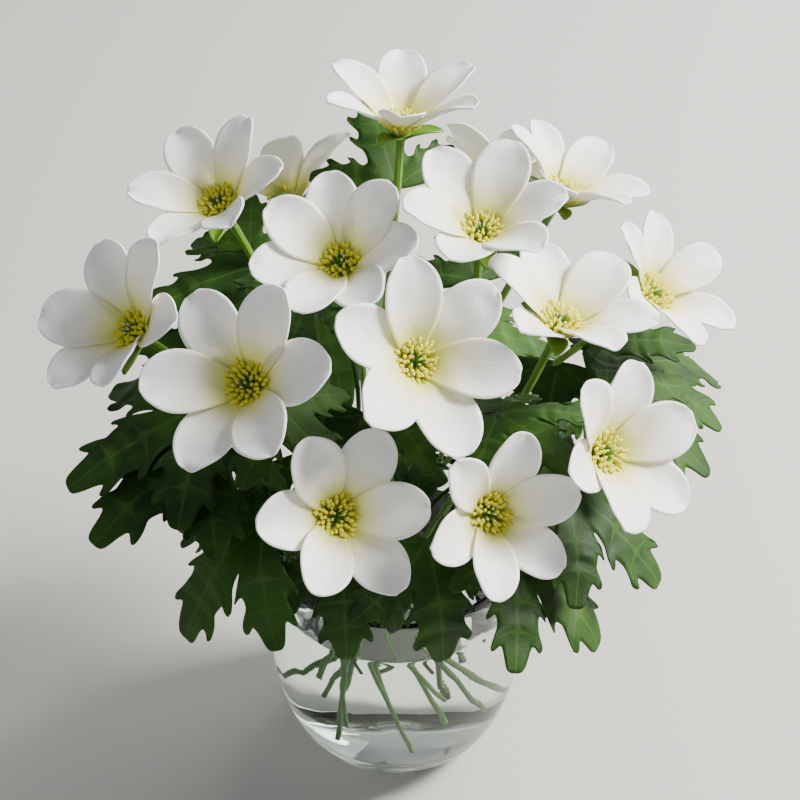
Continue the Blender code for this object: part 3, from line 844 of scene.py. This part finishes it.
# %% Shape one lobe
# Rows of the half lobe: (how far along, half width)
LOBE_ROWS = ((0.0, 0.0), (0.30, 0.13), (0.38, 0.185), (0.44, 0.21), (0.50, 0.20), (0.56, 0.178),
             (0.61, 0.175), (0.67, 0.17), (0.73, 0.14), (0.87, 0.11), (1.0, 0.075))
# A row without width keeps this sliver
SLIVER = 0.0001
# The outer ends of the rows in this stretch slide forward by the slant
SLANT = 0.05
SLANTED = (0.35, 0.8)
# Teeth: (rows that a tooth grows from, steps out as (across, forward, size beside the step before)). The
# second of the rows runs to the tooth's middle.
LOBE_TEETH = (((2, 3, 4), ((0.032, 0.040, 0.85), (0.030, 0.050, 0.58))),
              ((6, 7, 8), ((0.030, 0.045, 0.85), (0.028, 0.055, 0.58))))


def tooth_foot(rows):
    along, half = LOBE_ROWS[rows[1]]
    return Vector((half, 0.0, along + SLANT))


def make_lobe():
    """The right half of a lobe with its teeth, one unit long, along Z from the origin."""
    last = len(LOBE_ROWS) - 1
    lobe = upright_grid("lobe_master", columns=1, rows=last)
    slide_all((0.5, 0.0, 0.5))
    for k, (height, half) in enumerate(LOBE_ROWS):
        pick(lobe, lambda co: abs(co.z - k / last) < NEAR)
        bpy.ops.transform.resize(value=(max(half, SLIVER), 1.0, 1.0), center_override=(0.0, 0.0, 0.0))
        bpy.ops.transform.translate(value=(0.0, 0.0, ASIDE + height - k / last))
    slide_all((0.0, 0.0, -ASIDE))
    pick(lobe, lambda co: co.x > NEAR and SLANTED[0] < co.z < SLANTED[1])
    bpy.ops.transform.translate(value=(0.0, 0.0, SLANT))
    for rows, steps in LOBE_TEETH:
        heights = [LOBE_ROWS[k][0] + SLANT for k in rows]
        pick(lobe, lambda co: co.x > NEAR and heights[0] - NEAR < co.z < heights[-1] + NEAR)
        centre = tooth_foot(rows)
        for across, forward, size in steps:
            bpy.ops.mesh.extrude_edges_move(TRANSFORM_OT_translate={"value": (across, 0.0, forward)})
            centre += Vector((across, 0.0, forward))
            bpy.ops.transform.resize(value=(size, 1.0, size), center_override=centre)
    leave()
    return lobe


lobe_master = make_lobe()
print("half a lobe:", len(lobe_master.data.vertices), "points")

# %% [markdown]
# Each point of the lobe also learns how near a vein it lies. The midrib runs up the strip's inner edge, and a
# side vein runs to the middle of each tooth.

# %% Mark the veins and mirror the lobe
# How near the vein lies at a tooth's foot and at each step out to its tip
SIDE_VEIN = (0.98, 0.95, 0.80)
ON_MIDRIB = 0.001
ON_SIDE_VEIN = 0.012
MIRROR_WELD = 0.0005


def mark_veins(lobe):
    """1 on the midrib, less on the way to each tooth's middle, 0 elsewhere, as an attribute and a group."""
    vein = lobe.data.attributes.new("vein", "FLOAT", "POINT")
    group = lobe.vertex_groups.new(name="veins")
    middles = []
    for rows, steps in LOBE_TEETH:
        spot = tooth_foot(rows)
        middles.append((spot.copy(), SIDE_VEIN[0]))
        for (across, forward, _), near in zip(steps, SIDE_VEIN[1:]):
            spot += Vector((across, 0.0, forward))
            middles.append((spot.copy(), near))
    for point, value in zip(lobe.data.vertices, vein.data):
        near = 1.0 if abs(point.co.x) < ON_MIDRIB else 0.0
        for spot, share in middles:
            if (point.co - spot).length < ON_SIDE_VEIN:
                near = share
        value.value = near
        group.add([point.index], near, "REPLACE")


mark_veins(lobe_master)
add_modifier(lobe_master, "MIRROR", use_axis=(True, False, False), merge_threshold=MIRROR_WELD)
apply_modifiers(lobe_master)

# %% Turn the lobes into a flat leaf
# (angle of a lobe, its share of the leaf's length)
FIVE_LOBES = ((-108, 0.56), (-52, 0.86), (0, 1.0), (52, 0.86), (108, 0.56))
THREE_LOBES = ((-64, 0.8), (0, 1.0), (64, 0.8))
SINUS_SHARE = 0.36
BACK_ANGLE = 34
BACK_SHARE = 0.14
LOBE_WELD = 0.002


def flat_spot(angle, share):
    """The place in the flat leaf at this angle from its middle lobe, and this share of its length out."""
    return Vector((math.sin(math.radians(angle)), 0.0, math.cos(math.radians(angle)))) * share


def make_leaf_master(name, form):
    """A flat leaf, one unit long, from its lobes' (angle, length). Neighbours are welded at the foot."""
    sinuses = [flat_spot(form[0][0] - BACK_ANGLE, BACK_SHARE)]
    for (before, first), (after, second) in zip(form, form[1:]):
        sinuses.append(flat_spot((before + after) / 2, SINUS_SHARE * (first + second) / 2))
    sinuses.append(flat_spot(form[-1][0] + BACK_ANGLE, BACK_SHARE))
    lobes = []
    for k, (angle, share) in enumerate(form):
        lobe = copy_of(lobe_master, "lobe")
        for point in lobe.data.vertices:
            corner = abs(point.co.z - LOBE_ROWS[1][0]) < NEAR and abs(point.co.x) > NEAR
            turned = Matrix.Rotation(math.radians(angle), 3, "Y") @ point.co * share
            side = k + 1 if point.co.x > 0 else k
            point.co = sinuses[side] if corner else turned
        lobes.append(lobe)
    leaf = joined(name, lobes)
    edit(leaf)
    bpy.ops.mesh.remove_doubles(threshold=LOBE_WELD)
    bpy.ops.mesh.normals_make_consistent(inside=False)
    leave()
    return leaf


leaf_master = make_leaf_master("leaf_master", FIVE_LOBES)
small_master = make_leaf_master("small_master", THREE_LOBES)
print("flat leaf:", len(leaf_master.data.vertices), "points,", len(leaf_master.data.polygons), "faces")

# %% [markdown]
# ## Leaves on their stalks
#
# A flat leaf looks like paper. Each copy is arched over its length and drooped to both sides by two Simple
# Deform modifiers, gets a few dents of its own, is subdivided until its teeth are round, and its veins are
# then sunk into it. Its thickness comes last.

# %% Build a leaf
# Foot in mm, bearing that it grows towards, length in mm, (slope at the foot, slope at the tip)
LEAVES = {
    "left_high": ((-35, -10, 104), 203, 32, (-14, -29)),
    "left_mid": ((-35, -14, 96), 221, 30, (3, -35)),
    "left_low": ((-25, -28, 90), 212, 30, (-27, -76)),
    "front_left": ((-10, -33, 88), 274, 23, (-50, -76)),
    "front_right": ((6, -35, 91), 286, 25, (-34, -94)),
    "right_low": ((21, -33, 89), 338, 29, (-32, -64)),
    "right_mid": ((32, -23, 94), 338, 28, (-30, -57)),
    "right_high": ((40, -7, 103), 335, 26, (-7, -52)),
    "right_back": ((47, 13, 93), 29, 27, (-11, -50)),
    "back": ((11, 34, 84), 61, 32, (-6, -46)),
    "back_left": ((-23, 29, 87), 154, 32, (-9, -59)),
    "inner_right": ((19, -18, 108), 306, 22, (22, -20)),
    "inner_left": ((-16, 9, 114), 201, 22, (7, -22)),
}
LEAF_THICK = 0.30 * MM
SIDE_DROOP = 56.0
VEIN_DEPTH = 0.12 * MM
LEAF_DENTS = 0.018
LEAF_EVENNESS = 0.25
LEAF_SEED = 40
STALK_OVERLAP = 1.5 * MM
STALK_SINK = 0.25 * MM
STALK_RADII = (0.62 * MM, 0.38 * MM)


def make_leaf_blade(master, start, bearing, length, slopes, seed):
    """One blade: its foot in mm, its bearing, its length in mm, and its slopes at the foot and the tip."""
    blade = copy_of(master, "blade")
    dent(blade, LEAF_DENTS, seed, LEAF_EVENNESS)
    low = min(point.co.z for point in blade.data.vertices)
    high = max(point.co.z for point in blade.data.vertices)
    foot = -low / (high - low)
    add_modifier(blade, "SIMPLE_DEFORM", deform_method="BEND", deform_axis="Z",
                 angle=math.radians(SIDE_DROOP))
    add_modifier(blade, "SIMPLE_DEFORM", deform_method="BEND", deform_axis="X",
                 angle=math.radians(slopes[0] - slopes[1]), limits=(foot, 1.0))
    smooth_subdivision(blade, levels=2)
    apply_modifiers(blade)
    stand = Matrix.Translation(Vector(start) * MM) @ rotation(bearing - SHAPED_TOWARDS, "Z")
    place(blade, stand @ rotation(slopes[0] - UPRIGHT, "X") @ Matrix.Scale(length * MM, 4))
    add_modifier(blade, "DISPLACE", strength=VEIN_DEPTH, mid_level=0.0, vertex_group="veins")
    thicken(blade, LEAF_THICK)
    return blade


def leaf_route(start, bearing, slopes, slot):
    """The way of a leaf's stalk: on from the blade's foot, and down into the glass."""
    slope = math.radians(slopes[0])
    inward = bearing_vector(bearing) * -math.cos(slope) - UP * math.sin(slope)
    top = Vector(start) * MM - inward * STALK_OVERLAP - UP * STALK_SINK
    return stem_route(top, (inward - UP).normalized(), LEAF_RING, slot)


# %% Build the leaves
slots = dealt_slots({name: values[0] for name, values in LEAVES.items()}, LEAF_RING)
for number, (name, (start, bearing, length, slopes)) in enumerate(LEAVES.items()):
    blade = make_leaf_blade(leaf_master, start, bearing, length, slopes, LEAF_SEED + number)
    stalk = tube(leaf_route(start, bearing, slopes, slots[name]), STALK_RADII)
    leaf = joined(f"{name}_leaf", [blade, stalk])
    install(leaf, leaf_green, f"leaf_{name}")
print("one leaf:", len(leaf.data.polygons), "faces")

# %% [markdown]
# ## Small leaves on the flower stems
#
# Between the flowers the posy is dense with green. Small leaves of three lobes grow straight from the flower
# stems there.

# %% Build the small leaves
# Flower, mm below it, bearing that it grows towards, length in mm, (slope at the foot, slope at the tip)
SMALL_LEAVES = (
    ("left_back", 15, 198, 27, (-4, -36)),
    ("left_crown", 37, 234, 27, (-42, -82)),
    ("right", 24, 252, 23, (-42, -82)),
    ("top", 12, 108, 23, (34, 6)),
    ("crown", 12, 108, 19, (34, 6)),
    ("back_left", 18, 288, 27, (-22, -58)),
    ("left", 18, 72, 27, (34, 6)),
    ("front", 37, 306, 19, (34, 6)),
    ("low_left", 32, 302, 20, (-22, -78)),
    ("right_front", 12, 198, 19, (14, -16)),
    ("left_front", 28, 288, 19, (-42, -82)),
    ("left_back", 12, 90, 14, (34, 6)),
    ("left_front", 9, 324, 23, (-22, -58)),
    ("front", 21, 0, 23, (14, -16)),
    ("right", 18, 0, 23, (14, -16)),
)
# How far in mm a small leaf's foot stands out from the middle of its stem
SMALL_LEAF_OUT = 0.4
SMALL_LEAF_SEED = 70


def point_along(route, distance):
    """The point that lies at a distance down the route."""
    for before, after in zip(route, route[1:]):
        step = (after - before).length
        if distance <= step:
            return before.lerp(after, distance / step)
        distance -= step
    return route[-1]


for number, (stem, below, bearing, length, slopes) in enumerate(SMALL_LEAVES):
    foot = point_along(routes[stem], below * MM) / MM + bearing_vector(bearing) * SMALL_LEAF_OUT
    leaf = make_leaf_blade(small_master, foot, bearing, length, slopes, SMALL_LEAF_SEED + number)
    leaf.name = f"{stem}_small_leaf_{number + 1}"
    install(leaf, leaf_green, f"bloom_{stem}_stem")

# %% [markdown]
# ## The tumbler
#
# The tumbler is blown glass: thick and heavy at the foot, thin at the rim. It is shaped as a glass is raised:
# a disc, extruded upwards ring after ring on the outside, over the rim, and down again on the inside. The
# inside gets more rings than its outline has, because it is quilted next.

# %% Raise the glass
# (radius, height) in mm: the hollow under the foot, the outside up to the rim, and the inside down again
GLASS_UNDER = ((9.0, 0.5), (15.0, 0.4), (15.6, -0.2))
GLASS_OUTSIDE = ((18.6, 1.4), (21.6, 4.6), (24.0, 9.0), (26.0, 15.5), (27.3, 24.0), (27.6, 34.0),
                 (27.0, 46.0), (26.2, 57.4), (25.6, 58.0))
GLASS_INSIDE = ((24.9, 57.4), (25.4, 46.0), (25.9, 34.0), (25.5, 24.0), (24.1, 15.5), (21.6, 10.0),
                (17.0, 7.2), (9.0, 6.2))
MIDDLE_RADIUS = 2.0
INSIDE_FLOOR = 6.0
GLASS_SIDES = 60
LONGEST_STEP = 3.0


def filled_in(rings, longest):
    """The same outline with more rings, none further from the next than the longest step in mm."""
    fuller = [rings[0]]
    for (before, low), (after, high) in zip(rings, rings[1:]):
        steps = math.ceil(math.dist((before, low), (after, high)) / longest)
        for k in range(1, steps + 1):
            share = k / steps
            fuller.append((before + (after - before) * share, low + (high - low) * share))
    return fuller


inner_rings = filled_in(GLASS_INSIDE, LONGEST_STEP)
wall = [*GLASS_UNDER, *GLASS_OUTSIDE, *inner_rings, (MIDDLE_RADIUS, INSIDE_FLOOR)]
glass = raise_rings("tumbler", GLASS_SIDES, wall)
smooth_subdivision(glass, levels=1)
apply_modifiers(glass)

# %% [markdown]
# The inside of the wall is faintly quilted: two sets of waves run round it, one climbing to the left and one
# to the right, and where they cross they leave diamonds. They fade out below the rim and above the foot.

# %% Quilt the inside of the wall
# The depth in mm, the waves round the wall, and the height in mm over which a wave repeats
QUILT_DEPTH = 0.28
QUILT_WAVES = 6
QUILT_PITCH = 42.0
# The heights in mm at which the quilt starts, is full, begins to fade and ends
QUILT_ZONE = (9.0, 18.0, 50.0, 57.0)
# How far in mm a point may lie from the wall's inner face and still belong to it
WALL_REACH = 0.7


def inside_radius(height):
    """The inner radius of the wall at a height, both in mm."""
    rising = tuple(reversed(GLASS_INSIDE))
    for (low_r, low_z), (high_r, high_z) in zip(rising, rising[1:]):
        if low_z <= height <= high_z:
            return low_r + (high_r - low_r) * (height - low_z) / (high_z - low_z)
    return rising[-1][0]


def quilt(obj):
    """Presses the diamonds into whatever part of the mesh lies at the wall's inner face."""
    start, full, last, end = QUILT_ZONE
    for point in obj.data.vertices:
        radius = math.hypot(point.co.x, point.co.y) / MM
        height = point.co.z / MM
        if start < height < end and abs(radius - inside_radius(height)) < WALL_REACH:
            around = QUILT_WAVES * math.atan2(point.co.y, point.co.x)
            climb = math.tau * height / QUILT_PITCH
            diamond = abs(math.sin(around + climb) * math.sin(around - climb))
            strength = min(1.0, (height - start) / (full - start), (end - height) / (end - last))
            grown = 1 + QUILT_DEPTH * strength * diamond / radius
            point.co.x *= grown
            point.co.y *= grown


quilt(glass)
shade_smooth(glass)
install(glass, clear_glass, "glass_tumbler")

# %% [markdown]
# ## The water
#
# Water touches glass, so its skin is sunk a little way into the wall. A gap of air between the two would
# shine like a mirror. At the wall the water climbs a little.

# %% Fill in the water
# The level of the water, and how deep its skin is sunk into the wall, in mm
WATER_LEVEL = 47.0
SUNK = 0.12
# The top of the water, from the wall to the middle: (radius, height above the level) in mm
WATER_TOP = ((25.4 + SUNK, 0.5), (24.6, 0.1), (23.0, 0.0), (MIDDLE_RADIUS, 0.0))
wet = [(radius + SUNK, height) for radius, height in reversed(inner_rings) if height < WATER_LEVEL]
top = [(radius, WATER_LEVEL + above) for radius, above in WATER_TOP]
water = raise_rings("still_water", GLASS_SIDES, [(MIDDLE_RADIUS, INSIDE_FLOOR - SUNK), *wet, *top])
smooth_subdivision(water, levels=1)
apply_modifiers(water)
quilt(water)
shade_smooth(water)
install(water, still_water, "water")

# %% Remove the masters
for master in (petal_master, bract_master, stamen_master, pistil_master, cushion_master, cup_master,
               lobe_master, leaf_master, small_master):
    bpy.data.objects.remove(master, do_unlink=True)

# %% [markdown]
# ## Floor and light
#
# The posy stands on a plain pale floor. A soft light high on the right gives the petals their shading, a
# wider and weaker one from behind on the right lights their edges, and a weak one from the front left opens
# the shadows.

# %% Floor
FLOOR_SIZE = 6.0
FLOOR_DROP = 0.2 * MM
bpy.ops.mesh.primitive_plane_add(size=FLOOR_SIZE, location=(0.0, 0.0, -FLOOR_DROP))
floor = bpy.context.object
floor.name = "floor"
floor_pale, _, _ = new_material("floor_pale", Base_Color=(0.52, 0.50, 0.47, 1.0), Roughness=0.8)
floor.data.materials.append(floor_pale)
floor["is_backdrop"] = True


# %% Lights
def soft_light(name, where, size, power, colour):
    """A square light at a place in metres that shines on the posy."""
    bpy.ops.object.light_add(type="AREA", location=where)
    lamp = bpy.context.object
    lamp.name = name
    lamp.data.size = size
    lamp.data.energy = power
    lamp.data.color = colour
    toward = TARGET - Vector(where)
    lamp.rotation_euler = toward.to_track_quat("-Z", "Y").to_euler()


soft_light("key", where=(0.60, 0.12, 0.58), size=0.26, power=22.0, colour=(1.0, 0.97, 0.93))
soft_light("window", where=(0.45, 0.62, 0.46), size=0.6, power=5.5, colour=(1.0, 0.98, 0.95))
soft_light("fill", where=(-0.6, -0.7, 0.5), size=0.9, power=1.8, colour=(0.93, 0.96, 1.0))
world = bpy.data.worlds.new("studio")
bpy.context.scene.world = world
world.use_nodes = True
sky = world.node_tree.nodes["Background"].inputs
sky["Color"].default_value = (0.9, 0.93, 1.0, 1.0)
sky["Strength"].default_value = 0.32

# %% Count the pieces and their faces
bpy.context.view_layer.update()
faces = {obj.name: len(obj.data.polygons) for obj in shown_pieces() if obj.type == "MESH"}
print("pieces:", len(faces), "faces:", sum(faces.values()))
